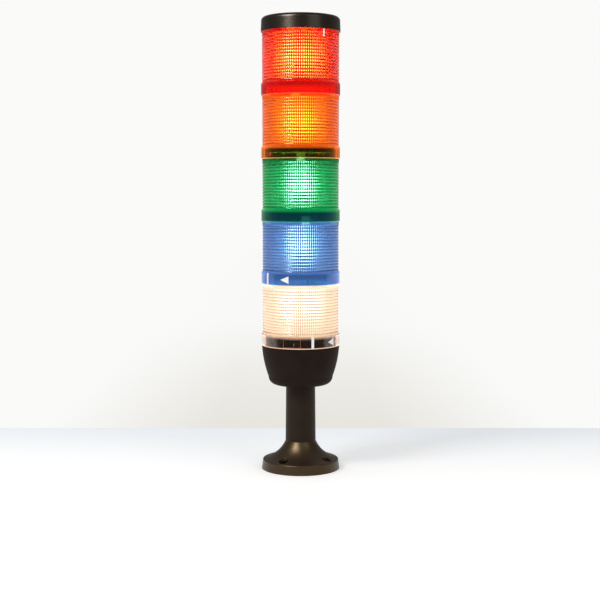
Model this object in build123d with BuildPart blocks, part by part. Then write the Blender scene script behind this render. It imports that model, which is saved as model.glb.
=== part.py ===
"""Stack light with five lamp tiers on a short pole.

A trumpet foot carries a moulded pole. The pole carries a black base housing, and five lamp modules
stand on the housing, one on another, under a black cap. Each lens is one moulding: a plain skirt ring
at the bottom, a ribbed and fluted drum, and a bayonet neck at the top. The neck goes into the skirt
ring of whatever stands above it and locks with a turn of a few degrees.

Millimetres and degrees. Z is up, the foot stands on Z = 0, and the front faces -Y.
"""

import os
from math import cos, radians, sin

from build123d import *

# Foot, with four counterbored screw holes
foot_radius = 35.2
foot_draft = 1.1
foot_rim_height = 8.6
foot_rim_edge = 0.8
foot_height = 25.5
trumpet_sag_radius = 21.8
trumpet_sag_height = 14.4
foot_skirt = 3.7
foot_roof = 3.6
foot_boss_wall = 2.2
foot_boss_height = 13.5
foot_web_height = 9.0
screw_circle_radius = 27.5
screw_count = 4
screw_first_angle = -33.3
screw_hole_radius = 2.7
screw_head_radius = 4.25
screw_seat_height = 6.0
screw_pillar_radius = 6.0
gasket_width = 1.3
gasket_height = 1.1
gasket_inset = 1.3
gasket_clearance = 0.1

# Pole, with a plain spigot at each end for its nut
pole_length = 51.5
pole_foot_radius = 13.65
pole_head_radius = 13.15
pole_bore_radius = 9.8
pole_spigot_radius = 11.9
spigot_stand_out = 0.8
spigot_clearance = 0.1
nut_clearance = 0.05
nut_flats = 27.5
nut_height = 6.0
nut_pocket_clearance = 0.35

# Base housing
housing_height = 35.5
housing_floor = 3.2
housing_wall = 2.4
housing_rim_step = 0.15
housing_flank_inset = 1.9
housing_flank_height = 20.9
housing_corner_inset = 5.85
housing_corner_height = 7.2
housing_heel_inset = 7.65
housing_heel_height = 2.4
housing_flat_inset = 12.25
housing_ledge_depth = 8.5

# Lamp tiers, from the bottom up
tiers = ["clear", "blue", "green", "amber", "red"]
tier_pitch = 55.5
ring_radius = 35.0
ring_wall = 2.6
ring_height = 10.7
ring_edge = 0.4
drum_step = 1.7
drum_wall = 1.95
drum_roof = 2.2
drum_band_height = 3.0
rib_count = 16
rib_depth = 0.85
flute_count = 108
flute_depth = 0.5
flute_root = 0.4

# Bayonet neck, the same on the housing and on every lens
neck_gap = 1.9
neck_wall = 2.1
neck_height = 9.0
plate_ledge_width = 1.2
plate_ledge_height = 5.5
bayonet_count = 4
pad_clearance = 0.8
pad_bottom = 0.8
pad_top_step = 0.4
pad_margin_angle = 2.1
twist_angle = 15.0
lug_angle = 8.0
lug_bottom = 2.5
lug_height = 2.6
lug_clearance = 0.4
lug_end_angle = 0.6
track_depth = 0.3
track_clearance = 0.3
sink = 0.2
housing_pad_angle = -14.0
tier_shift_angle = 13.0

# Parts inside each tier
seal_inset = 0.2
seal_height = 1.0
seal_gap = 0.3
carrier_flange_height = 1.1
carrier_spigot_height = 2.0
carrier_clearance = 0.3
plate_clearance = 0.2
plate_thickness = 2.0
holder_radius = 8.7
holder_wall = 0.9
holder_floor = 0.6
holder_height = 10.6
lamp_clearance = 0.3
lamp_base_height = 11.0
lamp_bulb_radius = 8.2
lamp_bulb_height = 25.0
lamp_dome_height = 3.4
strip_width = 8.0
strip_thickness = 1.6
strip_inset = 6.2
strip_angle = 160.0
contact_count = 6
contact_spacing_angle = 20.0
contact_inset = 10.2
contact_pin_radius = 1.0
contact_gap = 0.3
contact_pad_width = 2.4
contact_pad_angle = 14.0
contact_pad_height = 0.3

# Terminal block under the housing's contact plate
block_length = 34.0
block_width = 18.0
block_height = 15.0
terminal_count = 6
terminal_pitch = 5.2
terminal_hole_radius = 2.0
terminal_hole_depth = 5.0
terminal_screw_clearance = 0.1
terminal_screw_length = 4.4
wire_hole_radius = 1.4
wire_hole_height = 9.0

# Cap
cap_overhang = 0.2
cap_draft = 0.5
cap_height = 13.0
cap_edge = 3.5

# Sizes and places that follow from the ones above
front = -90.0
nut_pocket_radius = nut_flats / 2 / cos(radians(30)) + nut_pocket_clearance
foot_boss_radius = nut_pocket_radius + foot_boss_wall
foot_hollow_radius = foot_radius - foot_skirt
foot_nut_bottom = foot_web_height - nut_height
housing_bottom = foot_height + pole_length
housing_rim = housing_bottom + housing_height
head_nut_bottom = housing_bottom + housing_floor
stack_top = housing_rim + len(tiers) * tier_pitch

housing_rim_radius = ring_radius - housing_rim_step
housing_flank_radius = housing_rim_radius - housing_flank_inset
housing_corner_radius = housing_rim_radius - housing_corner_inset
housing_heel_radius = housing_rim_radius - housing_heel_inset
housing_flat_radius = housing_rim_radius - housing_flat_inset

ring_bore_radius = ring_radius - ring_wall
neck_radius = ring_bore_radius - neck_gap
neck_bore_radius = neck_radius - neck_wall
ledge_bore_radius = neck_bore_radius - plate_ledge_width
drum_radius = ring_radius - drum_step
rib_tip_radius = drum_radius + rib_depth
flute_valley_radius = drum_radius - drum_wall
flute_tip_radius = flute_valley_radius - flute_depth
rib_pitch = (tier_pitch - ring_height - drum_band_height) / rib_count

track_angle = lug_angle + 2 * lug_end_angle + twist_angle
entry_angle = lug_angle + 2 * lug_end_angle
pad_angle = track_angle + 2 * pad_margin_angle
lug_from_pad_angle = track_angle / 2 - lug_end_angle - lug_angle / 2
pad_radius = ring_bore_radius - pad_clearance
lug_tip_radius = neck_radius + lug_clearance
track_floor_radius = neck_radius - track_depth
first_lug_angle = front + housing_pad_angle + lug_from_pad_angle

plate_radius = neck_bore_radius - plate_clearance
plate_top = plate_ledge_height + plate_thickness
strip_circle_radius = plate_radius - strip_inset
contact_circle_radius = plate_radius - contact_inset
carrier_bottom = neck_height + seal_height + seal_gap
shelf_height = carrier_bottom + carrier_flange_height
carrier_top = shelf_height + carrier_spigot_height
lamp_base_radius = holder_radius - holder_wall - lamp_clearance
terminal_screw_radius = terminal_hole_radius - terminal_screw_clearance

os.makedirs("parts", exist_ok=True)


def save(piece, name):
    """Label a finished piece and write it as the node of that name."""
    piece.part.label = name
    export_step(piece.part, f"parts/{name}.step")


def sector(inner, outer, middle, width):
    """Face between two radii, spanning an angle about its middle angle."""
    start = middle - width / 2
    with BuildLine() as outline:
        outer_arc = CenterArc((0, 0), outer, start, width)
        inner_arc = CenterArc((0, 0), inner, start, width)
        Line(outer_arc @ 0, inner_arc @ 0)
        Line(outer_arc @ 1, inner_arc @ 1)
    make_face(outline.edges())


def ring_face(inner, outer):
    """Flat ring between two radii."""
    Circle(outer)
    Circle(inner, mode=Mode.SUBTRACT)


def bayonet_angles(first):
    """Angles of the evenly spaced bayonet features, counted from the first one."""
    return [first + 360 / bayonet_count * k for k in range(bayonet_count)]


def bayonet_pads(shoulder, pad_middle):
    """Raise the guide pads on a neck, then cut each one's L-shaped track: down on the left, then right."""
    with BuildSketch(Plane.XY.offset(shoulder + pad_bottom)) as pads:
        for angle in bayonet_angles(pad_middle):
            sector(neck_radius - sink, pad_radius, angle, pad_angle)
    extrude(pads.sketch, amount=neck_height - pad_top_step - pad_bottom)
    track_bottom = shoulder + lug_bottom - track_clearance
    with BuildSketch(Plane.XY.offset(track_bottom)) as channels:
        for angle in bayonet_angles(pad_middle):
            sector(track_floor_radius, pad_radius + sink, angle, track_angle)
    extrude(channels.sketch, amount=lug_height + 2 * track_clearance, mode=Mode.SUBTRACT)
    with BuildSketch(Plane.XY.offset(track_bottom)) as entries:
        for angle in bayonet_angles(pad_middle - (track_angle - entry_angle) / 2):
            sector(track_floor_radius, pad_radius + sink, angle, entry_angle)
    extrude(entries.sketch, amount=shoulder + neck_height - track_bottom, mode=Mode.SUBTRACT)


def bayonet_lugs(bottom, lug_middle):
    """Lugs on the bore of a skirt ring, which run in the tracks of the neck below."""
    with BuildSketch(Plane.XY.offset(bottom + lug_bottom)) as lugs:
        for angle in bayonet_angles(lug_middle):
            sector(lug_tip_radius, ring_bore_radius + sink, angle, lug_angle)
    extrude(lugs.sketch, amount=lug_height)


def make_foot():
    """Trumpet foot: skirt, hollow underside, four screw pillars and a pocket for the pole's nut."""
    with BuildPart() as foot:
        with BuildSketch(Plane.XZ):
            with BuildLine():
                Polyline((0, 0), (foot_radius, 0), (foot_radius - foot_draft, foot_rim_height))
                ThreePointArc(
                    (foot_radius - foot_draft, foot_rim_height),
                    (trumpet_sag_radius, trumpet_sag_height),
                    (pole_foot_radius, foot_height),
                )
                Polyline((pole_foot_radius, foot_height), (0, foot_height), (0, 0))
            make_face()
        revolve(axis=Axis.Z)
        rim = foot.edges().filter_by(GeomType.CIRCLE).filter_by_position(
            Axis.Z, foot_rim_height - foot_rim_edge, foot_rim_height + foot_rim_edge
        )
        fillet(rim, foot_rim_edge)
        with BuildSketch(Plane.XZ):
            with BuildLine():
                ThreePointArc(
                    (foot_boss_radius, foot_boss_height),
                    (trumpet_sag_radius, trumpet_sag_height - foot_roof),
                    (foot_hollow_radius, foot_rim_height - foot_roof),
                )
                Polyline(
                    (foot_hollow_radius, foot_rim_height - foot_roof),
                    (foot_hollow_radius, 0),
                    (foot_boss_radius, 0),
                    (foot_boss_radius, foot_boss_height),
                )
            make_face()
        revolve(axis=Axis.Z, mode=Mode.SUBTRACT)
        with BuildSketch():
            with PolarLocations(screw_circle_radius, screw_count, screw_first_angle):
                Circle(screw_pillar_radius)
        extrude(amount=screw_seat_height)
        with BuildSketch():
            with PolarLocations(screw_circle_radius, screw_count, screw_first_angle):
                Circle(screw_hole_radius)
        extrude(amount=foot_height, mode=Mode.SUBTRACT)
        with BuildSketch(Plane.XY.offset(screw_seat_height)):
            with PolarLocations(screw_circle_radius, screw_count, screw_first_angle):
                Circle(screw_head_radius)
        extrude(amount=foot_height, mode=Mode.SUBTRACT)
        with BuildSketch():
            Circle(nut_pocket_radius)
        extrude(amount=foot_web_height, mode=Mode.SUBTRACT)
        with BuildSketch():
            Circle(pole_spigot_radius + spigot_clearance)
        extrude(amount=foot_height, mode=Mode.SUBTRACT)
        groove = foot_radius - gasket_inset - gasket_width - gasket_clearance
        with BuildSketch():
            ring_face(groove, foot_radius - gasket_inset + gasket_clearance)
        extrude(amount=gasket_height + gasket_clearance, mode=Mode.SUBTRACT)
    save(foot, "foot")


def make_foot_gasket():
    """Flat rubber ring in the groove of the foot's underside."""
    with BuildPart() as foot_gasket:
        with BuildSketch():
            ring_face(foot_radius - gasket_inset - gasket_width, foot_radius - gasket_inset)
        extrude(amount=gasket_height)
    save(foot_gasket, "foot_gasket")


def make_nut(name, bottom):
    """Hexagon pole nut."""
    with BuildPart() as nut:
        with BuildSketch(Plane.XY.offset(bottom)):
            RegularPolygon(nut_flats / 2, 6, major_radius=False)
            Circle(pole_spigot_radius + nut_clearance, mode=Mode.SUBTRACT)
        extrude(amount=nut_height)
    save(nut, name)


def make_pole():
    """Hollow pole, a little thinner at the head, with a spigot at each end."""
    bottom = foot_nut_bottom - spigot_stand_out
    top = head_nut_bottom + nut_height + spigot_stand_out
    with BuildPart() as pole:
        with BuildSketch(Plane.XZ):
            with BuildLine():
                Polyline(
                    (pole_bore_radius, bottom),
                    (pole_spigot_radius, bottom),
                    (pole_spigot_radius, foot_height),
                    (pole_foot_radius, foot_height),
                    (pole_head_radius, housing_bottom),
                    (pole_spigot_radius, housing_bottom),
                    (pole_spigot_radius, top),
                    (pole_bore_radius, top),
                    close=True,
                )
            make_face()
        revolve(axis=Axis.Z)
    save(pole, "pole")


def housing_outline(inset, bottom, top):
    """Flank of the housing, drawn in from the outside by an inset, from its flat bottom to its rim."""
    corner = (housing_corner_radius - inset, housing_bottom + housing_corner_height)
    flank = (housing_flank_radius - inset, housing_bottom + housing_flank_height)
    rim = (housing_rim_radius - inset, top)
    ThreePointArc(
        (housing_flat_radius, bottom),
        (housing_heel_radius - inset, bottom + housing_heel_height),
        corner,
    )
    ThreePointArc(corner, flank, rim)
    Polyline(rim, (0, top), (0, bottom), (housing_flat_radius, bottom))


def make_base_housing():
    """Cup-shaped housing with the lowest bayonet neck on its rim."""
    ledge = housing_rim + plate_ledge_height
    roof = housing_rim - housing_ledge_depth
    with BuildPart() as base_housing:
        with BuildSketch(Plane.XZ):
            with BuildLine():
                housing_outline(0, housing_bottom, housing_rim)
            make_face()
        revolve(axis=Axis.Z)
        with BuildSketch(Plane.XY.offset(housing_rim)):
            Circle(neck_radius)
        extrude(amount=neck_height)
        bayonet_pads(housing_rim, front + housing_pad_angle)
        with BuildSketch(Plane.XZ):
            with BuildLine():
                housing_outline(housing_wall, housing_bottom + housing_floor, roof)
            make_face()
        revolve(axis=Axis.Z, mode=Mode.SUBTRACT)
        with BuildSketch(Plane.XY.offset(roof)):
            Circle(ledge_bore_radius)
        extrude(amount=housing_ledge_depth + neck_height, mode=Mode.SUBTRACT)
        with BuildSketch(Plane.XY.offset(ledge)):
            Circle(neck_bore_radius)
        extrude(amount=neck_height, mode=Mode.SUBTRACT)
        with BuildSketch(Plane.XY.offset(housing_bottom)):
            Circle(pole_spigot_radius + spigot_clearance)
        extrude(amount=housing_floor, mode=Mode.SUBTRACT)
    save(base_housing, "base_housing")


def make_terminal_block():
    """Screw terminals for the supply wires, hung under the housing's contact plate."""
    bottom = housing_rim + plate_ledge_height - block_height
    with BuildPart() as terminal_block:
        with BuildSketch(Plane.XY.offset(bottom)):
            Rectangle(block_length, block_width)
            with GridLocations(terminal_pitch, 0, terminal_count, 1):
                Circle(terminal_hole_radius, mode=Mode.SUBTRACT)
        extrude(amount=terminal_hole_depth)
        with BuildSketch(Plane.XY.offset(bottom + terminal_hole_depth)):
            Rectangle(block_length, block_width)
        extrude(amount=block_height - terminal_hole_depth)
        with BuildSketch(Plane.XZ.offset(-block_width / 2)):
            with Locations((0, bottom + wire_hole_height)):
                with GridLocations(terminal_pitch, 0, terminal_count, 1):
                    Circle(wire_hole_radius)
        extrude(amount=block_width, mode=Mode.SUBTRACT)
    save(terminal_block, "terminal_block")
    with BuildPart() as terminal_screws:
        with BuildSketch(Plane.XY.offset(bottom + terminal_hole_depth)):
            with GridLocations(terminal_pitch, 0, terminal_count, 1):
                Circle(terminal_screw_radius)
        extrude(amount=-terminal_screw_length)
    save(terminal_screws, "terminal_screws")


def make_plate(name, shoulder):
    """Contact plate on the ledge inside a neck."""
    with BuildPart() as plate:
        with BuildSketch(Plane.XY.offset(shoulder + plate_ledge_height)):
            Circle(plate_radius)
        extrude(amount=plate_thickness)
    save(plate, name)


def make_seal(name, shoulder):
    """Rubber ring that lies on the end of a neck."""
    with BuildPart() as seal:
        with BuildSketch(Plane.XY.offset(shoulder + neck_height)):
            ring_face(neck_bore_radius + seal_inset, neck_radius - seal_inset)
        extrude(amount=seal_height)
    save(seal, name)


def contact_angles(middle):
    """Angles of the contacts, spread evenly about a middle angle."""
    first = middle - contact_spacing_angle * (contact_count - 1) / 2
    return [first + contact_spacing_angle * k for k in range(contact_count)]


def contact_pads(shoulder, middle):
    """Brass pads on top of a contact plate."""
    inner = contact_circle_radius - contact_pad_width / 2
    with BuildSketch(Plane.XY.offset(shoulder + plate_top)) as pads:
        for angle in contact_angles(middle):
            sector(inner, inner + contact_pad_width, angle, contact_pad_angle)
    extrude(pads.sketch, amount=contact_pad_height)


def make_base_contacts(middle):
    """The housing's own contact pads."""
    with BuildPart() as base_contacts:
        contact_pads(housing_rim, middle)
    save(base_contacts, "base_contacts")


def lens_section(floor):
    """Section of a lens: skirt ring, one arc for each outer rib, plain band, and neck."""
    shoulder = floor + tier_pitch
    ledge = shoulder + plate_ledge_height
    inner = flute_tip_radius - flute_root
    Polyline(
        (ring_bore_radius, floor),
        (ring_radius - ring_edge, floor),
        (ring_radius, floor + ring_edge),
        (ring_radius, floor + ring_height - ring_edge),
        (ring_radius - ring_edge, floor + ring_height),
        (drum_radius, floor + ring_height),
    )
    for k in range(rib_count):
        low = floor + ring_height + k * rib_pitch
        ThreePointArc(
            (drum_radius, low),
            (rib_tip_radius, low + rib_pitch / 2),
            (drum_radius, low + rib_pitch),
        )
    Polyline(
        (drum_radius, shoulder - drum_band_height),
        (rib_tip_radius, shoulder - drum_band_height),
        (rib_tip_radius, shoulder),
        (neck_radius, shoulder),
        (neck_radius, shoulder + neck_height),
        (neck_bore_radius, shoulder + neck_height),
        (neck_bore_radius, ledge),
        (ledge_bore_radius, ledge),
        (ledge_bore_radius, shoulder - drum_roof),
        (inner, shoulder - drum_roof),
        (inner, floor + shelf_height),
        (ring_bore_radius, floor + shelf_height),
        (ring_bore_radius, floor),
    )


def fluted_outline():
    """Closed outline of the lens's cavity: one arc for each inner flute, crowned towards the axis."""

    def point(radius, steps):
        angle = radians(360 / flute_count * steps)
        return (radius * cos(angle), radius * sin(angle))

    with BuildLine() as outline:
        for k in range(flute_count):
            ThreePointArc(
                point(flute_valley_radius, k),
                point(flute_tip_radius, k + 0.5),
                point(flute_valley_radius, k + 1),
            )
    make_face(outline.edges())


def make_lens(tier, floor, lug_middle):
    """One lens: ring with lugs, ribbed drum with inner flutes, and a neck with guide pads."""
    shoulder = floor + tier_pitch
    with BuildPart() as lens:
        with BuildSketch(Plane.XZ):
            with BuildLine():
                lens_section(floor)
            make_face()
        revolve(axis=Axis.Z)
        with BuildSketch(Plane.XY.offset(floor + shelf_height)):
            fluted_outline()
        extrude(amount=tier_pitch - shelf_height - drum_roof, mode=Mode.SUBTRACT)
        bayonet_lugs(floor, lug_middle)
        bayonet_pads(shoulder, lug_middle - lug_from_pad_angle + tier_shift_angle)
    save(lens, f"{tier}_lens")


def make_carrier(tier, floor):
    """Moulding under the drum that closes the tier and holds its lampholder."""
    with BuildPart() as carrier:
        with BuildSketch(Plane.XY.offset(floor + carrier_bottom)):
            Circle(ring_bore_radius - carrier_clearance)
        extrude(amount=shelf_height - carrier_bottom)
        with BuildSketch(Plane.XY.offset(floor + shelf_height)):
            Circle(flute_tip_radius - carrier_clearance)
        extrude(amount=carrier_spigot_height)
    save(carrier, f"{tier}_carrier")


def make_lampholder(tier, floor):
    """Metal cup that the lamp's base stands in."""
    with BuildPart() as lampholder:
        with BuildSketch(Plane.XY.offset(floor + carrier_top)):
            Circle(holder_radius)
        extrude(amount=holder_height)
        with BuildSketch(Plane.XY.offset(floor + carrier_top + holder_floor)):
            Circle(holder_radius - holder_wall)
        extrude(amount=holder_height, mode=Mode.SUBTRACT)
    save(lampholder, f"{tier}_lampholder")


def make_lamp(tier, floor):
    """LED lamp: straight metal base and a round-topped bulb."""
    base = floor + carrier_top + holder_floor
    bulb = base + lamp_base_height
    tip = bulb + lamp_bulb_height
    with BuildPart() as lamp:
        with BuildSketch(Plane.XZ):
            with BuildLine():
                Polyline(
                    (0, tip),
                    (0, base),
                    (lamp_base_radius, base),
                    (lamp_base_radius, bulb),
                    (lamp_bulb_radius, bulb),
                    (lamp_bulb_radius, tip - lamp_dome_height),
                )
                TangentArc((0, tip), (lamp_bulb_radius, tip - lamp_dome_height), tangent=(1, 0))
            make_face()
        revolve(axis=Axis.Z)
    save(lamp, f"{tier}_lamp")


def make_wiring_strip(tier, floor, lug_middle):
    """Flat strip that carries the conductors from the carrier up to the contact plate."""
    bottom = floor + carrier_top
    with BuildPart() as wiring_strip:
        with BuildSketch(Plane.XY.offset(bottom)):
            with PolarLocations(strip_circle_radius, 1, lug_middle + strip_angle):
                Rectangle(strip_thickness, strip_width)
        extrude(amount=floor + tier_pitch + plate_ledge_height - bottom)
    save(wiring_strip, f"{tier}_wiring_strip")


def make_contacts(tier, floor, lug_middle):
    """Brass pins under the carrier, and the pads on the tier's own contact plate."""
    pin_bottom = floor + plate_top + contact_pad_height + contact_gap
    with BuildPart() as contacts:
        with BuildSketch(Plane.XY.offset(pin_bottom)):
            for angle in contact_angles(lug_middle):
                with PolarLocations(contact_circle_radius, 1, angle):
                    Circle(contact_pin_radius)
        extrude(amount=floor + carrier_bottom - pin_bottom)
        contact_pads(floor + tier_pitch, lug_middle + tier_shift_angle)
    save(contacts, f"{tier}_contacts")


def make_cap(lug_middle):
    """Black cap with the same lugs as a skirt ring."""
    with BuildPart() as cap:
        with BuildSketch(Plane.XZ):
            with BuildLine():
                Polyline(
                    (0, stack_top),
                    (ring_radius + cap_overhang, stack_top),
                    (ring_radius + cap_overhang - cap_draft, stack_top + cap_height),
                    (0, stack_top + cap_height),
                    close=True,
                )
            make_face()
        revolve(axis=Axis.Z)
        fillet(cap.edges().group_by(Axis.Z)[-1], cap_edge)
        with BuildSketch(Plane.XY.offset(stack_top)):
            Circle(ring_bore_radius)
        extrude(amount=carrier_bottom, mode=Mode.SUBTRACT)
        bayonet_lugs(stack_top, lug_middle)
    save(cap, "cap")


make_foot()
make_foot_gasket()
make_nut("foot_nut", foot_nut_bottom)
make_pole()
make_base_housing()
make_nut("head_nut", head_nut_bottom)
make_terminal_block()
make_plate("base_plate", housing_rim)
make_seal("base_seal", housing_rim)
make_base_contacts(first_lug_angle)

for level, tier in enumerate(tiers):
    floor = housing_rim + level * tier_pitch
    lug_middle = first_lug_angle + level * tier_shift_angle
    make_lens(tier, floor, lug_middle)
    make_seal(f"{tier}_seal", floor + tier_pitch)
    make_carrier(tier, floor)
    make_lampholder(tier, floor)
    make_lamp(tier, floor)
    make_wiring_strip(tier, floor, lug_middle)
    make_plate(f"{tier}_top_plate", floor + tier_pitch)
    make_contacts(tier, floor, lug_middle)
make_cap(first_lug_angle + len(tiers) * tier_shift_angle)
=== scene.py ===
from math import cos, pi, radians, sin, tau

import bpy
import numpy as np
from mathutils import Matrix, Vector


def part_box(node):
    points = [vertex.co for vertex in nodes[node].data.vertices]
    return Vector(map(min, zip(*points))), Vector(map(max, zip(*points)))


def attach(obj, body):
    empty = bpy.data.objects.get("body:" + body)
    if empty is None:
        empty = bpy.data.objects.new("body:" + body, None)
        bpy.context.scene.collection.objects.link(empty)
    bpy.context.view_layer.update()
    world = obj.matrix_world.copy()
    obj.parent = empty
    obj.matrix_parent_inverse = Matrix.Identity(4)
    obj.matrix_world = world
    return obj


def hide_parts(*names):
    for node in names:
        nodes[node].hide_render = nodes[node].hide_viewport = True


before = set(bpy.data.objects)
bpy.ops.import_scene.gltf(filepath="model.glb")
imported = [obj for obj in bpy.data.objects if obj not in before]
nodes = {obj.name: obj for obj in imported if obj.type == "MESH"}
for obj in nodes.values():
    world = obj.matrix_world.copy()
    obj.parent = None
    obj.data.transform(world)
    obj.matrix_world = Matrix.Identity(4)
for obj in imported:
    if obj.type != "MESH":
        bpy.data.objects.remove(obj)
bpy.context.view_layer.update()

MM = 0.001
TIERS = ["clear", "blue", "green", "amber", "red"]
FRONT = -pi / 2

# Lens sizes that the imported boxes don't give, in millimetres
RING_WALL = 2.6
RING_EDGE = 0.4
RING_HEIGHT = 10.7
DRUM_RADIUS = 33.3
DRUM_WALL = 1.95
DRUM_ROOF = 2.2
BAND_HEIGHT = 3.0
RIB_COUNT = 16
RIB_DEPTH = 0.85
FLUTE_COUNT = 108
FLUTE_DEPTH = 0.5
SHELF_HEIGHT = 11.4
NECK_RADIUS = 30.5
NECK_HEIGHT = 9.0
NECK_BORE = 28.4
LEDGE_BORE = 27.2
LEDGE_HEIGHT = 5.5

# Bayonet pads, tracks and lugs: sizes in millimetres. STEP is half the height of an edge between two levels.
BAYONET_COUNT = 4
PAD_RADIUS = 31.6
PAD_SPAN = radians(28.4)
PAD_LEVELS = (0.8, 8.6)
TRACK_RADIUS = 30.2
TRACK_SPAN = radians(24.2)
TRACK_LEVELS = (2.2, 5.4)
ENTRY_SPAN = radians(9.2)
LUG_RADIUS = 30.9
LUG_SPAN = radians(8.0)
LUG_LEVELS = (2.5, 5.1)
LUG_FROM_PAD = radians(7.5)
FIRST_PAD = FRONT + radians(-14.0)
PAD_SHIFT = radians(13.0)
STEP = 0.02

# Printed marks: their sizes in millimetres, and how far they stand out of and reach into the plastic
PRINT_STAND = 0.06
PRINT_DEPTH = 0.05
LINE_WIDTH = 2.4
ARROW_HEIGHT = 6.6
ARROW_POINT = 0.02
ARROW_TIP = radians(25.8)
ARROW_BASE = radians(38.4)
TICK_WIDTH = 1.7
TICK_HEIGHT = 6.4
TICK_GAP = 0.3

# Mesh fineness: the fluted inside has twice as many columns as the outside
FLUTE_STEPS = 8
COLUMNS = FLUTE_COUNT * FLUTE_STEPS // 2
RIB_STEPS = 8
FLUTE_LEVELS = 5
MARK_ROWS = 24
MARK_COLUMNS = 13
SHARP_EDGE = radians(32)

# Moulded plastic: cells of noise per metre and the range of it that is used, for its two tones and for its
# texture, and how far the texture swings the roughness to each side
PATCH_CELLS = 60.0
PATCH_DETAIL = 3.0
PATCH_RANGE = (0.35, 0.65)
TEXTURE_CELLS = 3200.0
TEXTURE_RANGE = (0.3, 0.7)
SMOOTHER = 0.05
ROUGHER = 0.07

# Metal: the same for its streaks, which only make it rougher
STREAK_CELLS = 900.0
STREAK_DETAIL = 4.0
STREAK_HARSHNESS = 0.7
STREAK_RANGE = (0.3, 0.7)
STREAK_DEPTH = 0.15

# Painted copper highlight lines along the edges of the housing neck's pads: half their width, in millimetres
# and as a turn, and the multiples of it between which a line fades out
HIGHLIGHT_LINE = 0.22
HIGHLIGHT_TURN = HIGHLIGHT_LINE / PAD_RADIUS
HIGHLIGHT_FULL = 0.8
HIGHLIGHT_GONE = 1.4

# Lens plastic: the share of light that it scatters, the roughness of its ring, what the drum's haze adds,
# and the roughness of the scattered share
POLYCARBONATE_IOR = 1.585
SCATTER = 0.2
CLEAR_ROUGHNESS = 0.015
DRUM_HAZE = 0.07
SCATTER_ROUGHNESS = 0.3

# How far the outline's colour reaches in: the blend of the view angle, and the power that narrows it
OUTLINE_BLEND = 0.5
OUTLINE_POWER = 3.0

# Painted shade in the valleys between ribs and between flutes, partly the deeper tint of the longer path
# there: where across one it starts and is full, how dark it is, and the power of the tint that deepens it
RIB_JOINT = (0.26, 0.42)
FLUTE_JOINT = (0.10, 0.30)
JOINT_SHADE = 0.06
JOINT_PATH = 2.2

# Millimetres over which the drum's look fades in and out, and the painted glow fades near the ring and the
# top
FADE = 0.3
GLOW_FADE = 3.0
TOP_FADE = 10.0

# Colours and tones that several finishes share
BLACK = (0.0, 0.0, 0.0, 1.0)
WHITE = (1.0, 1.0, 1.0, 1.0)
LAMP_GLASS = (0.8, 0.8, 0.78, 1.0)
LAMP_ROUGHNESS = 0.4
PALE_GLOSS = (1.0, 0.87, 0.74, 1.0)
WARM_GLOSS = (1.0, 0.80, 0.60, 1.0)
BROWN_GLOSS = (1.0, 0.70, 0.38, 1.0)

# Each tier's plastic: its tint in the drum, at the drum's outline (a darker tint there, painted shade and
# partly the longer path) and in the ring, the tone of its gloss, the colour and strength of its painted
# glow, the shares of it near the ring and the top, how strong the painted shade in its rib and flute valleys
# shows, and the painted glow of the ring's outline and bottom rim
PLASTICS = {
    "clear": {
        "tint": (0.985, 0.90, 0.78, 1.0),
        "outline": (0.97, 0.80, 0.70, 1.0),
        "ring_tint": (0.93, 0.72, 0.60, 1.0),
        "gloss": (1.0, 1.0, 1.0, 1.0),
        "glow": (1.0, 0.70, 0.50, 1.0),
        "strength": 0.24,
        "ring_painted_glow": 0.0,
        "top_painted_glow": 0.8,
        "rib_valley_shade": 0.55,
        "flute_valley_shade": 0.35,
        "ring_outline_painted_glow": (0.0, 0.0, 0.0, 1.0),
        "rim": (3.0, 2.0, 1.4, 1.0),
    },
    "blue": {
        "tint": (0.26, 0.50, 0.84, 1.0),
        "outline": (0.34, 0.27, 0.74, 1.0),
        "ring_tint": (0.03, 0.15, 0.52, 1.0),
        "gloss": (0.8, 0.85, 1.0, 1.0),
        "glow": (0.15, 0.28, 0.66, 1.0),
        "strength": 0.25,
        "ring_painted_glow": 0.35,
        "top_painted_glow": 0.5,
        "rib_valley_shade": 0.65,
        "flute_valley_shade": 1.0,
        "ring_outline_painted_glow": (0.0, 0.0, 0.0, 1.0),
        "rim": (1.4, 1.6, 1.8, 1.0),
    },
    "green": {
        "tint": (0.06, 0.48, 0.17, 1.0),
        "outline": (0.02, 0.32, 0.12, 1.0),
        "ring_tint": (0.05, 0.30, 0.14, 1.0),
        "gloss": (0.15, 1.0, 0.5, 1.0),
        "glow": (0.0, 0.50, 0.12, 1.0),
        "strength": 0.32,
        "ring_painted_glow": 0.0,
        "top_painted_glow": 0.0,
        "rib_valley_shade": 0.85,
        "flute_valley_shade": 1.0,
        "ring_outline_painted_glow": (0.3, 0.8, 0.5, 1.0),
        "rim": (0.1, 0.8, 0.5, 1.0),
    },
    "amber": {
        "tint": (0.98, 0.32, 0.014, 1.0),
        "outline": (0.92, 0.20, 0.012, 1.0),
        "ring_tint": (1.0, 0.42, 0.04, 1.0),
        "gloss": (1.0, 0.7, 0.5, 1.0),
        "glow": (1.0, 0.14, 0.008, 1.0),
        "strength": 0.26,
        "ring_painted_glow": 0.0,
        "top_painted_glow": 0.6,
        "rib_valley_shade": 0.6,
        "flute_valley_shade": 0.85,
        "ring_outline_painted_glow": (2.9, 0.75, 0.1, 1.0),
        "rim": (1.8, 1.1, 0.25, 1.0),
    },
    "red": {
        "tint": (0.92, 0.066, 0.010, 1.0),
        "outline": (0.75, 0.035, 0.02, 1.0),
        "ring_tint": (0.85, 0.03, 0.025, 1.0),
        "gloss": (1.0, 0.7, 0.65, 1.0),
        "glow": (1.0, 0.02, 0.01, 1.0),
        "strength": 0.2,
        "ring_painted_glow": 0.4,
        "top_painted_glow": 0.6,
        "rib_valley_shade": 0.6,
        "flute_valley_shade": 0.75,
        "ring_outline_painted_glow": (0.4, 0.02, 0.015, 1.0),
        "rim": (1.2, 0.15, 0.08, 1.0),
    },
}

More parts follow.
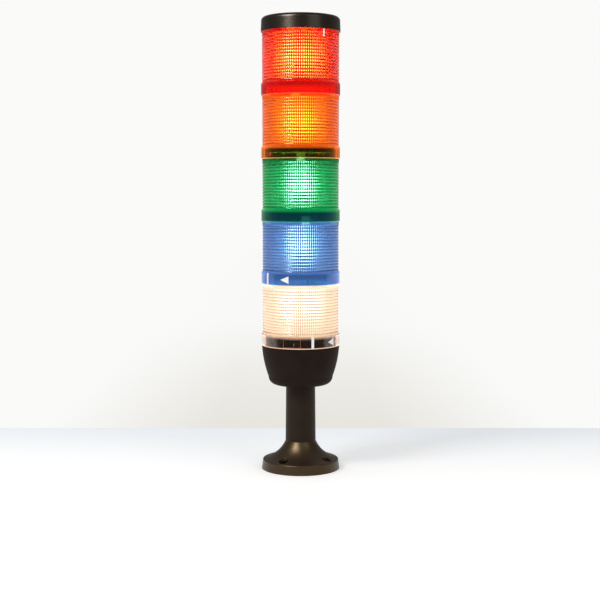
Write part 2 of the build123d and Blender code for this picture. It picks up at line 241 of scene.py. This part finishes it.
# Each lamp: the colours of its core and halo, its strength, and the height of its chips above its tier's
# floor in millimetres. CORE_REACH is how far from that height the core has fallen to about a third.
CORE_REACH = 9.0
LAMPS = {
    "clear": ((1.0, 0.97, 0.90, 1.0), (0.50, 0.44, 0.36, 1.0), 3.6, 38.0),
    "blue": ((0.95, 1.0, 0.90, 1.0), (0.24, 0.26, 0.24, 1.0), 13.0, 29.0),
    "green": ((1.0, 0.38, 0.62, 1.0), (0.09, 0.06, 0.08, 1.0), 80.0, 28.0),
    "amber": ((1.0, 1.0, 0.80, 1.0), (0.27, 0.23, 0.16, 1.0), 13.5, 25.0),
    "red": ((0.9, 1.0, 0.90, 1.0), (0.20, 0.10, 0.05, 1.0), 56.0, 31.0),
}


class Value:
    """A shader number that Python arithmetic can work on: each operation adds its Math node."""

    def __init__(self, finish, socket):
        self.finish = finish
        self.socket = socket

    def _math(self, operation, first, second=0.0):
        node = self.finish.node("ShaderNodeMath", {"operation": operation}, {0: first, 1: second})
        return Value(self.finish, node.outputs[0])

    def __add__(self, other):
        return self._math("ADD", self, other)

    def __sub__(self, other):
        return self._math("SUBTRACT", self, other)

    def __rsub__(self, other):
        return self._math("SUBTRACT", other, self)

    def __mul__(self, other):
        return self._math("MULTIPLY", self, other)

    def __pow__(self, other):
        return self._math("POWER", self, other)

    def __gt__(self, other):
        return self._math("GREATER_THAN", self, other)

    def maximum(self, other):
        return self._math("MAXIMUM", self, other)

    def arctan2(self, other):
        return self._math("ARCTAN2", self, other)

    def fraction(self):
        return self._math("FRACT", self)

    def absolute(self):
        return self._math("ABSOLUTE", self)

    def exponential(self):
        return self._math("EXPONENT", self)


class Finish:
    """A node material or world, built with one method for any node and a few short forms for common ones."""

    def __init__(self, name, holder=None):
        self.holder = holder or bpy.data.materials.new(name)
        self.holder.use_nodes = True
        self.tree = self.holder.node_tree
        self.tree.nodes.clear()

    def node(self, kind, settings=None, inputs=None):
        """Add a node, set its settings, then fill or link its sockets."""
        made = self.tree.nodes.new(kind)
        for key, value in (settings or {}).items():
            setattr(made, key, value)
        for key, value in (inputs or {}).items():
            if isinstance(value, Value):
                self.tree.links.new(value.socket, made.inputs[key])
            elif isinstance(value, bpy.types.NodeSocket):
                self.tree.links.new(value, made.inputs[key])
            else:
                made.inputs[key].default_value = value
        return made

    def place(self):
        """Object coordinates, in metres of the shared frame."""
        return self.node("ShaderNodeTexCoord").outputs["Object"]

    def axis(self, name):
        """One of the three object coordinates as a value."""
        parts = self.node("ShaderNodeSeparateXYZ", inputs={0: self.place()})
        return Value(self, parts.outputs[name])

    def ray(self, kind):
        """1 for rays of that kind and 0 for all others."""
        return Value(self, self.node("ShaderNodeLightPath").outputs[f"Is {kind} Ray"])

    def noise(self, scale, detail=2.0, roughness=0.5):
        """Noise of that many cells per metre."""
        made = self.node(
            "ShaderNodeTexNoise",
            inputs={"Vector": self.place(), "Scale": scale, "Detail": detail, "Roughness": roughness},
        )
        return Value(self, made.outputs[0])

    def rescale(self, value, low, high, new_low=0.0, new_high=1.0):
        """Map a value from one range to another, kept within the new one."""
        made = self.node("ShaderNodeMapRange", inputs={0: value, 1: low, 2: high, 3: new_low, 4: new_high})
        return Value(self, made.outputs[0])

    def mix(self, factor, first, second):
        """Mix two colours."""
        made = self.node("ShaderNodeMix", {"data_type": "RGBA"}, {0: factor, 6: first, 7: second})
        return made.outputs[2]

    def outline(self):
        """0 where the surface faces the viewer, growing to 1 at its outline, as gloss and glass need."""
        made = self.node("ShaderNodeLayerWeight", inputs={"Blend": OUTLINE_BLEND})
        return Value(self, made.outputs["Facing"]) ** OUTLINE_POWER

    def bump(self, height, distance):
        made = self.node("ShaderNodeBump", inputs={"Strength": 1.0, "Distance": distance, "Height": height})
        return made.outputs[0]

    def surface(self, **sockets):
        """Principled shader; names are socket names with underscores for spaces."""
        inputs = {name.replace("_", " "): value for name, value in sockets.items()}
        return self.node("ShaderNodeBsdfPrincipled", inputs=inputs).outputs[0]

    def glow(self, kind, tone, strength=1.0):
        """Emission or background shader."""
        return self.node(kind, inputs={"Color": tone, "Strength": strength}).outputs[0]

    def blend(self, factor, first, second):
        """Mix two shaders."""
        return self.node("ShaderNodeMixShader", inputs={0: factor, 1: first, 2: second}).outputs[0]

    def output(self, shader, target="ShaderNodeOutputMaterial"):
        self.node(target, inputs={"Surface": shader})
        return self.holder


def colour(red, green, blue):
    """Linear colour, by the sRGB curve, from the red, green and blue that a picture shows, 0 to 255 each."""
    shown = np.array([red, green, blue]) / 255.0
    linear = np.where(shown <= 0.04045, shown / 12.92, ((shown + 0.055) / 1.055) ** 2.4)
    return (*[float(v) for v in linear], 1.0)


def tier_sizes(tier):
    """In millimetres: a tier's floor, its height up to the next tier's floor, and its ring's radius."""
    low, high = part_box(f"{tier}_lens")
    return low.z / MM, (high.z - low.z) / MM - NECK_HEIGHT, high.x / MM


def patches(finish, dark, light):
    """Two close tones in broad patches; each is given as a picture shows it."""
    share = finish.rescale(finish.noise(PATCH_CELLS, PATCH_DETAIL), *PATCH_RANGE)
    return finish.mix(share, colour(*dark), colour(*light))


def textured(finish, tone, roughness, grain, specular=0.35, gloss=WHITE):
    """Plastic of that tone, with the fine texture of a spark-eroded mould, grain millimetres deep."""
    fine = finish.noise(TEXTURE_CELLS)
    return finish.output(
        finish.surface(
            Base_Color=tone,
            Roughness=finish.rescale(fine, *TEXTURE_RANGE, roughness - SMOOTHER, roughness + ROUGHER),
            Specular_IOR_Level=specular,
            Specular_Tint=gloss,
            Normal=finish.bump(fine, grain * MM),
        )
    )


def moulded(name, dark, light, roughness, grain, **gloss):
    """Moulded plastic in two close tones."""
    finish = Finish(name)
    return textured(finish, patches(finish, dark, light), roughness, grain, **gloss)


def housing_plastic():
    """Black satin plastic, with a painted copper highlight along the outlines of the neck's guide pads.

    A point's turn from the nearest pad's middle and its height above the rim say how far it is from the
    pad's outline: a side edge lies half a pad's span away, and the ends lie at the pad's two levels.
    """
    finish = Finish("housing_black_painted_highlight")
    floor = tier_sizes("clear")[0]
    height = finish.axis("Z") * (1.0 / MM) - floor
    # Mask of the painted copper highlight along the pads' side edges and ends
    pads = (finish.axis("Y").arctan2(finish.axis("X")) - FIRST_PAD) * (BAYONET_COUNT / tau) + 0.5
    away = (pads.fraction() - 0.5).absolute() * (tau / BAYONET_COUNT)
    within = finish.rescale(away, PAD_SPAN / 2 + HIGHLIGHT_TURN, PAD_SPAN / 2)
    gap = (away - (PAD_SPAN / 2 - HIGHLIGHT_TURN)).absolute()
    side = finish.rescale(gap, HIGHLIGHT_GONE * HIGHLIGHT_TURN, HIGHLIGHT_FULL * HIGHLIGHT_TURN)
    side = side * finish.rescale(height, 0.0, PAD_LEVELS[0])
    edge = side * finish.rescale(height, NECK_HEIGHT, PAD_LEVELS[1])
    for level in (PAD_LEVELS[0] + HIGHLIGHT_LINE, PAD_LEVELS[1] - HIGHLIGHT_LINE):
        gap = (height - level).absolute()
        end = finish.rescale(gap, HIGHLIGHT_GONE * HIGHLIGHT_LINE, HIGHLIGHT_FULL * HIGHLIGHT_LINE) * within
        edge = edge.maximum(end)
    black = patches(finish, (29, 20, 16), (35, 24, 19))
    # The painted copper highlight goes over the black on the pads' outlines
    tone = finish.mix(edge * (height > 0.0), black, colour(205, 150, 120))
    return textured(finish, tone, roughness=0.6, grain=0.03, specular=0.1)


def metal(name, tone, roughness):
    """Plated or plain metal with faint streaks in its roughness."""
    finish = Finish(name)
    streaks = finish.noise(STREAK_CELLS, STREAK_DETAIL, STREAK_HARSHNESS)
    return finish.output(
        finish.surface(
            Base_Color=colour(*tone),
            Metallic=1.0,
            Roughness=finish.rescale(streaks, *STREAK_RANGE, roughness, roughness + STREAK_DEPTH),
        )
    )


def joint_depth(finish, count, reach):
    """From a running count of ribs or flutes: 0 over the middle of each one, growing to 1 where two meet."""
    across = (count.fraction() - 0.5).absolute()
    return finish.rescale(across, *reach)


def lens_plastic_painted_glow_shade(tier):
    """Transparent coloured polycarbonate, with painted shade at its outline and in the valleys where ribs or
    flutes meet, partly the deeper tint of the longer path through the plastic there.

    Most of it is clear; a share of the light is scattered on the way through the drum. Its emission is a
    painted glow round the lamp, with painted glow lines at the ring's outline and bottom rim. A joint's
    depth is 0 over the middle of a rib or flute and grows to 1 at its ends.
    The ribs' joints are on the outer face, the flutes' on the inner one, told apart by the distance from the
    axis, and the two are joined as 1 - (1 - rib share) * (1 - flute share).
    """
    look = PLASTICS[tier]
    floor, pitch, _ = tier_sizes(tier)
    finish = Finish(f"{tier}_lens_plastic")
    height = finish.axis("Z") * (1.0 / MM) - floor
    ribs_top = pitch - BAND_HEIGHT
    on_drum = finish.rescale(height, RING_HEIGHT, RING_HEIGHT + FADE)
    on_ribs = on_drum * finish.rescale(height, ribs_top, ribs_top - FADE)

    x = finish.axis("X")
    y = finish.axis("Y")
    inner_face = (DRUM_RADIUS - DRUM_WALL + FADE) * MM
    outer_face = (DRUM_RADIUS - FADE) * MM
    outer = finish.rescale((x * x + y * y) ** 0.5, inner_face, outer_face)
    ribs = (height - RING_HEIGHT) * (RIB_COUNT / (ribs_top - RING_HEIGHT))
    flutes = y.arctan2(x) * (FLUTE_COUNT / tau)
    # Painted shade in the rib and flute valleys, partly the deeper tint of the longer path through the
    # plastic
    rib_share = joint_depth(finish, ribs, RIB_JOINT) * look["rib_valley_shade"] * outer
    flute_share = joint_depth(finish, flutes, FLUTE_JOINT) * look["flute_valley_shade"] * (1.0 - outer)
    joint = (1.0 - (1.0 - rib_share) * (1.0 - flute_share)) * on_ribs

    # The valleys darken to a deep tone and the outline to a darker tint: painted shade, partly the longer
    # path
    deep = (*[JOINT_SHADE * v**JOINT_PATH for v in look["tint"][:3]], 1.0)
    drum = finish.mix(joint, finish.mix(finish.outline(), look["tint"], look["outline"]), deep)
    body = finish.mix(on_drum, look["ring_tint"], drum)

    # Painted glow: the emission stands for the lamp's light spread through the plastic, weaker near the
    # ring, the top and in the valleys; the ring's outline and bottom rim get painted glow lines
    low = finish.rescale(height, RING_HEIGHT - GLOW_FADE, RING_HEIGHT, look["ring_painted_glow"], 1.0)
    high = finish.rescale(height, pitch, pitch - TOP_FADE, look["top_painted_glow"], 1.0)
    lit = finish.mix(low * high * (1.0 - joint), BLACK, look["glow"])
    lit = finish.mix(finish.outline() * (1.0 - on_drum), lit, look["ring_outline_painted_glow"])
    lit = finish.mix(finish.rescale(height, 2 * RING_EDGE, RING_EDGE), lit, look["rim"])

    lobes = [
        finish.surface(
            Base_Color=body,
            Roughness=roughness,
            IOR=POLYCARBONATE_IOR,
            Transmission_Weight=1.0,
            Specular_Tint=look["gloss"],
            Emission_Color=lit,
            Emission_Strength=look["strength"],
        )
        for roughness in (on_drum * DRUM_HAZE + CLEAR_ROUGHNESS, SCATTER_ROUGHNESS)
    ]
    share = on_drum * finish.rescale(height, pitch, ribs_top) * SCATTER
    return finish.output(finish.blend(share, *lobes))


def lamp_light(tier):
    """Lit lamp: full strength round the level of its chips, and a weaker halo towards its ends."""
    core, halo, strength, level = LAMPS[tier]
    floor = tier_sizes(tier)[0]
    finish = Finish(f"{tier}_lamp_light")
    distance = (finish.axis("Z") * (1.0 / MM) - (floor + level)) * (1.0 / CORE_REACH)
    fall = (distance * distance * -1.0).exponential()
    return finish.output(
        finish.surface(
            Base_Color=LAMP_GLASS,
            Roughness=LAMP_ROUGHNESS,
            Emission_Color=finish.mix(fall, halo, core),
            Emission_Strength=strength,
        )
    )


def mesh_object(name, points, faces):
    """Make an object from points in metres and a list of faces, smooth except at its sharp edges."""
    mesh = bpy.data.meshes.new(name)
    mesh.from_pydata(points.tolist(), [], faces)
    mesh.validate()
    mesh.polygons.foreach_set("use_smooth", np.ones(len(mesh.polygons), bool))
    mesh.set_sharp_from_angle(angle=SHARP_EDGE)
    mesh.update()
    piece = bpy.data.objects.new(name, mesh)
    bpy.context.scene.collection.objects.link(piece)
    return piece


def grid_faces(rows, columns, start=0):
    """Quads of a grid whose rows are rings: each joins a point, its neighbour and the two a row on."""
    i = np.arange(rows - 1)[:, None]
    j = np.arange(columns)[None, :]
    k = (j + 1) % columns
    quads = np.stack([i * columns + j, i * columns + k, (i + 1) * columns + k, (i + 1) * columns + j], -1)
    return (quads.reshape(-1, 4) + start).tolist()


def near(angles, middles, span):
    """True where an angle lies within half a span of any of the middles."""
    away = (angles[:, None] - np.array(middles)[None, :] + pi) % tau - pi
    return (np.abs(away) <= span / 2).any(1)


def bayonet(first):
    """Angles of the evenly spaced bayonet features, counted from the first one."""
    return [first + tau / BAYONET_COUNT * k for k in range(BAYONET_COUNT)]


def neck_rows(angles, pad_middle):
    """Heights and radii of a neck's outside: pads stand out of it, and each has an L-shaped track in it.

    A point is at the pad's radius inside the pad's span and levels, at the track's radius inside the
    channel or the entry above it, and at the neck's radius elsewhere.
    """
    pads = near(angles, bayonet(pad_middle), PAD_SPAN)
    channel = near(angles, bayonet(pad_middle), TRACK_SPAN)
    entry = near(angles, bayonet(pad_middle - (TRACK_SPAN - ENTRY_SPAN) / 2), ENTRY_SPAN)
    levels = [0.0]
    for level in (PAD_LEVELS[0], TRACK_LEVELS[0], TRACK_LEVELS[1], PAD_LEVELS[1]):
        levels += [level - STEP, level + STEP]
    levels = np.array(levels + [NECK_HEIGHT])
    radii = np.full((len(levels), len(angles)), NECK_RADIUS)
    on_pad = (levels > PAD_LEVELS[0]) & (levels < PAD_LEVELS[1])
    in_channel = (levels > TRACK_LEVELS[0]) & (levels < TRACK_LEVELS[1])
    radii[on_pad[:, None] & pads[None, :]] = PAD_RADIUS
    radii[in_channel[:, None] & channel[None, :]] = TRACK_RADIUS
    radii[(levels > TRACK_LEVELS[0])[:, None] & entry[None, :]] = TRACK_RADIUS
    return levels, radii


def bore_rows(angles, lug_middle, bore):
    """Heights and radii of a skirt's bore, from its top down: lugs stand in from the bore's radius."""
    lugs = near(angles, bayonet(lug_middle), LUG_SPAN)
    levels = [SHELF_HEIGHT]
    for level in (LUG_LEVELS[1], LUG_LEVELS[0]):
        levels += [level + STEP, level - STEP]
    levels = np.array(levels + [0.0])
    radii = np.full((len(levels), len(angles)), bore)
    on_lug = (levels > LUG_LEVELS[0]) & (levels < LUG_LEVELS[1])
    radii[on_lug[:, None] & lugs[None, :]] = LUG_RADIUS
    return levels, radii


def rib_rows(pitch):
    """Heights and radii of the drum: each rib is one circular arc that crowns outwards, under a plain band.

    The arc's radius comes from its half chord and its rise, and its points are evenly spaced in angle.
    The band is as wide as the ribs' crowns.
    """
    band = pitch - BAND_HEIGHT
    half = (band - RING_HEIGHT) / RIB_COUNT / 2
    arc_radius = (half**2 + RIB_DEPTH**2) / (2 * RIB_DEPTH)
    reach = np.arcsin(half / arc_radius)
    turn = np.linspace(-reach, reach, RIB_STEPS + 1)[:-1]
    across = half + arc_radius * np.sin(turn)
    out = arc_radius * (np.cos(turn) - cos(reach))
    bottoms = RING_HEIGHT + 2 * half * np.arange(RIB_COUNT)
    crown = DRUM_RADIUS + RIB_DEPTH
    levels = np.append((bottoms[:, None] + across[None, :]).ravel(), [band, band, pitch])
    radii = np.append(np.tile(DRUM_RADIUS + out, RIB_COUNT), [DRUM_RADIUS, crown, crown])
    return levels, radii


def flute_outline():
    """Angles and radii of the drum's inside: each flute is one arc that crowns towards the axis.

    The arc's radius comes from half the flute's chord and its rise. Its points are evenly spaced in
    angle, and each point's place across the flute is turned into an angle about the axis.
    """
    valley = DRUM_RADIUS - DRUM_WALL
    half = valley * sin(pi / FLUTE_COUNT)
    rise = FLUTE_DEPTH - valley * (1 - cos(pi / FLUTE_COUNT))
    arc_radius = (half**2 + rise**2) / (2 * rise)
    reach = np.arcsin(half / arc_radius)
    turn = np.linspace(-reach, reach, FLUTE_STEPS + 1)[:-1]
    across = arc_radius * np.sin(turn)
    along = valley - FLUTE_DEPTH + arc_radius * (1 - np.cos(turn))
    middles = (np.arange(FLUTE_COUNT) + 0.5) * tau / FLUTE_COUNT
    angles = np.arctan2(across, along)[None, :] + middles[:, None]
    radii = np.tile(np.hypot(across, along), FLUTE_COUNT)
    return angles.ravel(), radii


def polar(radii, angles, levels):
    """Points in millimetres at those radii and angles about the axis, and at those heights."""
    radii, angles, levels = np.broadcast_arrays(radii, angles, levels)
    return np.stack([radii * np.cos(angles), radii * np.sin(angles), levels], -1).reshape(-1, 3)


def lens(tier, level):
    """One lens as a single closed skin: bore, ring, ribs, neck, neck bore, and the fluted inside.

    The outside is a grid of rings with an even spacing in angle. The fluted inside is a second grid with
    twice as many columns. At the roof and at the shelf a flat ring of five-cornered faces joins the two.
    """
    floor, pitch, ring_radius = tier_sizes(tier)
    pad_middle = FIRST_PAD + level * PAD_SHIFT
    angles = np.arange(COLUMNS) * tau / COLUMNS
    whole = np.ones((1, COLUMNS))

    bore_z, bore_r = bore_rows(angles, pad_middle + LUG_FROM_PAD, ring_radius - RING_WALL)
    ring_z = np.array([0.0, RING_EDGE, RING_HEIGHT - RING_EDGE, RING_HEIGHT])
    ring_r = np.array([ring_radius - RING_EDGE, ring_radius, ring_radius, ring_radius - RING_EDGE])
    rib_z, rib_r = rib_rows(pitch)
    neck_z, neck_r = neck_rows(angles, pad_middle + PAD_SHIFT)
    inner_z = pitch + np.array([NECK_HEIGHT, LEDGE_HEIGHT, LEDGE_HEIGHT, -DRUM_ROOF])
    inner_r = np.array([NECK_BORE, NECK_BORE, LEDGE_BORE, LEDGE_BORE])

    levels = np.concatenate([bore_z, ring_z, rib_z, neck_z + pitch, inner_z])
    radii = np.concatenate(
        [bore_r, ring_r[:, None] * whole, rib_r[:, None] * whole, neck_r, inner_r[:, None] * whole]
    )
    outside = polar(radii, angles[None, :], levels[:, None])
    faces = grid_faces(len(levels), COLUMNS)

    flute_angles, flute_radii = flute_outline()
    flute_z = np.linspace(pitch - DRUM_ROOF, SHELF_HEIGHT, FLUTE_LEVELS)
    inside = polar(flute_radii[None, :], flute_angles[None, :], flute_z[:, None])
    start = len(outside)
    columns = len(flute_angles)
    faces += grid_faces(FLUTE_LEVELS, columns, start)

    shift = int(round(np.unwrap([0.0, flute_angles[0]])[1] / (tau / columns)))
    roof = (len(levels) - 1) * COLUMNS
    shelf = start + (FLUTE_LEVELS - 1) * columns
    j = np.arange(COLUMNS)
    k = (j + 1) % COLUMNS
    a, b, c = ((2 * j + step - shift) % columns for step in range(3))
    faces += np.stack([roof + j, roof + k, start + c, start + b, start + a], -1).tolist()
    faces += np.stack([shelf + a, shelf + b, shelf + c, k, j], -1).tolist()

    points = np.concatenate([outside, inside]) + np.array([0.0, 0.0, floor])
    piece = mesh_object(f"{tier}_lens_shell", points * MM, faces)
    piece.data.materials.append(lens_plastic_painted_glow_shade(tier))
    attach(piece, f"{tier}_module")
    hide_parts(f"{tier}_lens")


def printed_mark(name, body, angles, low, high, radius):
    """A thin mark printed on a round surface, as a closed skin.

    At each angle it runs from a low to a high level, cut into MARK_ROWS steps. Its outer face lies
    PRINT_STAND proud of the radius that the surface has at that level, and its inner face just under it.
    """
    steps = np.linspace(0.0, 1.0, MARK_ROWS + 1)
    levels = low[:, None] + (high - low)[:, None] * steps[None, :]
    surface = radius(levels)
    loop = np.concatenate([levels, levels[:, ::-1]], 1)
    around = np.concatenate([surface + PRINT_STAND, surface[:, ::-1] - PRINT_DEPTH], 1)
    columns = loop.shape[1]
    last = (len(angles) - 1) * columns
    faces = grid_faces(len(angles), columns)
    faces += [list(range(columns)), list(range(last + columns - 1, last - 1, -1))]
    piece = mesh_object(name, polar(around, angles[:, None], loop) * MM, faces)
    piece.data.flip_normals()
    piece.data.materials.append(print_white)
    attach(piece, body)


def ring_marks(tier, front_angle):
    """A line over the whole height of a tier's ring, and an arrow head to its right that points at it."""
    floor, _, radius = tier_sizes(tier)
    middle = FRONT + front_angle

    def ring(levels):
        """Radius of the ring's outside, with its two bevelled edges."""
        inside = np.minimum(levels - floor, floor + RING_HEIGHT - levels)
        return radius - np.clip(RING_EDGE - inside, 0.0, RING_EDGE)

    half = LINE_WIDTH / 2 / radius
    angles = np.linspace(middle - half, middle + half, MARK_COLUMNS)
    bottom = np.full(MARK_COLUMNS, floor)
    printed_mark(f"{tier}_ring_line", f"{tier}_module", angles, bottom, bottom + RING_HEIGHT, ring)
    angles = np.linspace(middle + ARROW_TIP, middle + ARROW_BASE, MARK_COLUMNS)
    spread = np.linspace(ARROW_POINT, 1.0, MARK_COLUMNS) * ARROW_HEIGHT / 2
    level = np.full(MARK_COLUMNS, floor + RING_HEIGHT / 2)
    printed_mark(f"{tier}_ring_arrow", f"{tier}_module", angles, level - spread, level + spread, ring)


def drum_tick(tier, front_angle):
    """A short upright tick at the top of a tier's drum, over its plain band and its first ribs."""
    floor, pitch, _ = tier_sizes(tier)
    rib_levels, rib_radii = rib_rows(pitch)
    middle = FRONT + front_angle
    half = TICK_WIDTH / 2 / DRUM_RADIUS
    angles = np.linspace(middle - half, middle + half, MARK_COLUMNS)
    top = np.full(MARK_COLUMNS, floor + pitch - TICK_GAP)

    def drum(levels):
        """Radius of the drum's outside, ribs included."""
        return np.interp(levels, rib_levels + floor, rib_radii)

    printed_mark(f"{tier}_drum_tick", f"{tier}_module", angles, top - TICK_HEIGHT, top, drum)


# Finishes. Moulded: two tones as a picture shows them, the roughness, and the grain's depth in millimetres.
# Metal: its tone and its least roughness.
cap_black = moulded(
    "cap_satin_black", (23, 16, 12), (29, 20, 15), 0.29, 0.008, specular=0.55, gloss=PALE_GLOSS
)
pole_black = moulded(
    "pole_satin_black", (32, 24, 18), (39, 30, 23), 0.5, 0.03, specular=0.22, gloss=WARM_GLOSS
)
foot_black = moulded(
    "foot_brown_black", (31, 23, 18), (40, 30, 24), 0.36, 0.03, specular=0.85, gloss=BROWN_GLOSS
)
black_rubber = moulded("rubber_black", (28, 27, 27), (38, 36, 36), 0.7, 0.02, specular=0.3)
pale_rubber = moulded("silicone_off_white", (214, 212, 205), (226, 224, 218), 0.6, 0.01, specular=0.3)
nut_plastic = moulded("nut_dark_grey", (60, 58, 56), (72, 70, 66), 0.5, 0.02)
white_plastic = moulded("carrier_off_white", (224, 221, 212), (236, 233, 226), 0.45, 0.01)
grey_block = moulded("terminal_grey", (128, 128, 126), (146, 146, 142), 0.5, 0.01)
print_white = moulded("print_white", (244, 244, 246), (252, 252, 252), 0.4, 0.004)
bright_brass = metal("contact_brass", (214, 176, 104), 0.2)
zinc_steel = metal("screw_zinc", (190, 192, 196), 0.3)
holder_metal = metal("holder_metal", (205, 203, 196), 0.3)

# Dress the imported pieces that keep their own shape
dress = {
    "cap": cap_black,
    "base_housing": housing_plastic(),
    "pole": pole_black,
    "foot": foot_black,
    "foot_gasket": black_rubber,
    "foot_nut": nut_plastic,
    "head_nut": nut_plastic,
    "terminal_block": grey_block,
    "terminal_screws": zinc_steel,
    "base_plate": white_plastic,
    "base_seal": pale_rubber,
    "base_contacts": bright_brass,
}
for tier in TIERS:
    dress[f"{tier}_seal"] = pale_rubber
    dress[f"{tier}_carrier"] = white_plastic
    dress[f"{tier}_lampholder"] = holder_metal
    dress[f"{tier}_lamp"] = lamp_light(tier)
    dress[f"{tier}_wiring_strip"] = white_plastic
    dress[f"{tier}_top_plate"] = white_plastic
    dress[f"{tier}_contacts"] = bright_brass
for node, material in dress.items():
    nodes[node].data.materials.clear()
    nodes[node].data.materials.append(material)

# Lenses and the marks printed on them
for level, tier in enumerate(TIERS):
    lens(tier, level)
ring_marks("clear", radians(17.7))
ring_marks("blue", radians(-56.0))
drum_tick("clear", radians(-42.8))
drum_tick("red", radians(36.0))

# Camera, as the photograph was taken
CAMERA_SIDE = -0.00055
CAMERA_DISTANCE = 1.090
CAMERA_HEIGHT = 0.2544
CAMERA_PITCH = radians(5.32)
CAMERA_NEAR = 0.01
SENSOR = 36.0
FOCAL_PIXELS = 1217.0
FRAME_PIXELS = 600.0
camera_data = bpy.data.cameras.new("camera")
camera_data.sensor_width = SENSOR
camera_data.lens = FOCAL_PIXELS * SENSOR / FRAME_PIXELS
camera_data.clip_start = CAMERA_NEAR
camera = bpy.data.objects.new("camera", camera_data)
camera.location = (CAMERA_SIDE, -CAMERA_DISTANCE, CAMERA_HEIGHT)
camera.rotation_euler = (pi / 2 - CAMERA_PITCH, 0.0, 0.0)
bpy.context.scene.collection.objects.link(camera)
bpy.context.scene.camera = camera

# Studio: the tone of the dim room and of the plain light, their levels, and the white all round.
# Reflections show the room, and towards +Y they keep a little of the white: as the direction's Y grows
# over ROOM_TURN, the room's share falls from 1 to ROOM_BEHIND.
ROOM_TONE = (1.0, 0.98, 0.95, 1.0)
ROOM_LEVEL = 0.12
LIGHT_LEVEL = 0.6
SURROUND = colour(250, 250, 249)
ROOM_TURN = (-0.2, 0.9)
ROOM_BEHIND = 0.88


def seen_directly(finish):
    """1 for camera, mirror and see-through rays, and 0 for the rays that light a surface."""
    return finish.ray("Camera").maximum(finish.ray("Glossy")).maximum(finish.ray("Transmission"))


def studio():
    """White all round for what is seen, a plain level for what is lit, and a dimmer room in reflections."""
    world = bpy.data.worlds.new("studio")
    sky = Finish("studio", world)
    white = sky.glow("ShaderNodeBackground", SURROUND)
    room = sky.glow("ShaderNodeBackground", ROOM_TONE, ROOM_LEVEL)
    lighting = sky.glow("ShaderNodeBackground", ROOM_TONE, LIGHT_LEVEL)
    direction = sky.node("ShaderNodeTexCoord").outputs["Generated"]
    depth = sky.node("ShaderNodeSeparateXYZ", inputs={0: direction}).outputs["Y"]
    mirrored = sky.ray("Glossy") * sky.rescale(depth, *ROOM_TURN, 1.0, ROOM_BEHIND)
    seen = sky.blend(mirrored, white, room)
    sky.output(sky.blend(seen_directly(sky), lighting, seen), "ShaderNodeOutputWorld")
    return world


bpy.context.scene.world = studio()

# Floor, in metres: a pale table from the front to TABLE_BACK, and behind it a wall that is paler higher up
# and to both sides. The table's tone turns from TABLE_NEAR on, and TABLE_LIFT is its own share of light.
FLOOR_REACH = 4.0
TABLE_NEAR = -0.06
TABLE_BACK = 0.18
TABLE_FRONT_TONE = colour(250, 250, 251)
TABLE_BACK_TONE = colour(228, 234, 241)
TABLE_ROUGHNESS = 0.5
TABLE_SPECULAR = 0.2
TABLE_LIFT = 0.3
WALL_PALE = 1.167
WALL_HALF_WIDTH = 0.09
WALL_LOW_TONE = colour(231, 229, 222)
WALL_HIGH_TONE = colour(248, 248, 247)
ROOM_NEAR = (-0.12, -0.35)


def floor_material():
    """White table near the light, the wall's own tone behind its back edge, and dim reflections in front.

    The table's lift ends under the foot, so that its screw holes are dark inside.
    """
    finish = Finish("pale_table")
    x = finish.axis("X")
    depth = finish.axis("Y")
    table = finish.mix(finish.rescale(depth, TABLE_NEAR, TABLE_BACK), TABLE_FRONT_TONE, TABLE_BACK_TONE)
    foot_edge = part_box("foot")[1].x
    open_table = finish.rescale((x * x + depth * depth) ** 0.5, foot_edge - MM, foot_edge)
    lift = finish.mix(open_table * seen_directly(finish), BLACK, table)
    matt = finish.surface(
        Base_Color=table,
        Roughness=TABLE_ROUGHNESS,
        Specular_IOR_Level=TABLE_SPECULAR,
        Emission_Color=lift,
        Emission_Strength=TABLE_LIFT,
    )
    wall = finish.mix(finish.rescale(depth, TABLE_BACK, WALL_PALE), WALL_LOW_TONE, WALL_HIGH_TONE)
    side = finish.rescale(x.absolute(), WALL_HALF_WIDTH, 3 * WALL_HALF_WIDTH)
    backdrop = finish.glow("ShaderNodeEmission", finish.mix(side, wall, SURROUND))
    both = finish.blend((depth > TABLE_BACK) * seen_directly(finish), matt, backdrop)
    room = finish.glow("ShaderNodeEmission", ROOM_TONE, ROOM_LEVEL)
    ahead = finish.rescale(depth, *ROOM_NEAR) * finish.ray("Glossy")
    return finish.output(finish.blend(ahead, both, room))


corners = np.array([[-1, -1, 0], [1, -1, 0], [1, 1, 0], [-1, 1, 0]]) * FLOOR_REACH
floor_piece = mesh_object("table", corners, [[0, 1, 2, 3]])
floor_piece.data.materials.append(floor_material())

# Soft lights round the middle of the tower: sizes in metres, power in watts
TOWER_MIDDLE = 0.2
COOL_WHITE = (1.0, 0.98, 0.95)
WARM_WHITE = (1.0, 0.97, 0.93)


def softbox(name, azimuth, elevation, distance, width, height, power, tone):
    """Area light aimed at the middle of the tower, from an azimuth counted from the camera's side."""
    data = bpy.data.lights.new(name, "AREA")
    data.shape = "RECTANGLE"
    data.size = width
    data.size_y = height
    data.energy = power
    data.color = tone
    lamp = bpy.data.objects.new(name, data)
    out = np.array([sin(azimuth) * cos(elevation), -cos(azimuth) * cos(elevation), sin(elevation)])
    lamp.location = out * distance + np.array([0.0, 0.0, TOWER_MIDDLE])
    lamp.rotation_euler = (pi / 2 - elevation, 0.0, azimuth)
    bpy.context.scene.collection.objects.link(lamp)
    return lamp


softbox("key", radians(-50), radians(42), distance=1.3, width=0.42, height=0.3, power=6.0, tone=COOL_WHITE)
softbox("fill", radians(40), radians(30), distance=1.8, width=1.0, height=1.0, power=5.0, tone=WARM_WHITE)

# A tall window beside the camera, which only glossy surfaces show
window = softbox(
    "window", radians(-36), radians(38), distance=1.4, width=0.42, height=0.8, power=16.0, tone=COOL_WHITE
)
for kind in ("visible_camera", "visible_diffuse", "visible_transmission"):
    setattr(window, kind, False)

bpy.context.scene.view_settings.view_transform = "Standard"
